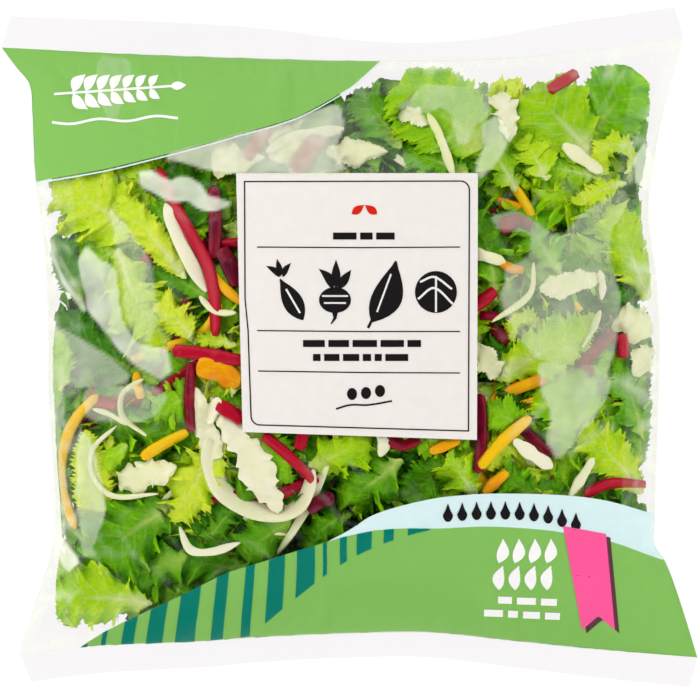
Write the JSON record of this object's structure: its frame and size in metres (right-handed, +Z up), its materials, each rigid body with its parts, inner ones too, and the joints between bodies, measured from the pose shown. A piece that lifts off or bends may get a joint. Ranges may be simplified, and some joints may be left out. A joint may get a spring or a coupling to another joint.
{
  "type": "bag of cut salad mix",
  "caption": "Sealed clear pillow bag of cut frisee, white cabbage, carrot and beet, lying on its back, with a green print and a cream label panel.",
  "frame": {"origin": "middle of the bag seen from above, on the surface that it lies on", "axes": "+Z up, out of the printed front; +Y towards the top welded strip; +X to the right as the front is read"},
  "size_m": [0.2514, 0.2462, 0.0619],
  "materials": {
    "bag": "one colour for the whole filled bag, near the mean of its print and leaves",
    "film": "clear glossy packaging film with wrinkles and a slight haze",
    "print_green": "green ink under glossy film",
    "print_teal": "dark teal ink under glossy film",
    "print_pale": "pale blue ink under glossy film",
    "print_pink": "pink ink under glossy film",
    "print_plum": "dark plum ink under glossy film",
    "print_white": "white ink under glossy film",
    "label": "cream printed panel, satin",
    "label_ink": "black ink",
    "label_red": "red ink",
    "leaf_dark": "dark green frisee leaf, slightly waxy",
    "leaf_mid": "green frisee leaf, slightly waxy",
    "leaf_light": "yellow-green heart leaf, slightly waxy",
    "cabbage": "cut white cabbage, moist",
    "carrot": "cut carrot, moist",
    "beet": "cut beet, moist",
    "core": "dark packed leaves deep in the bag"
  },
  "bodies": {
    "root": {"salad_bag": "bag"}
  },
  "joints": []
}
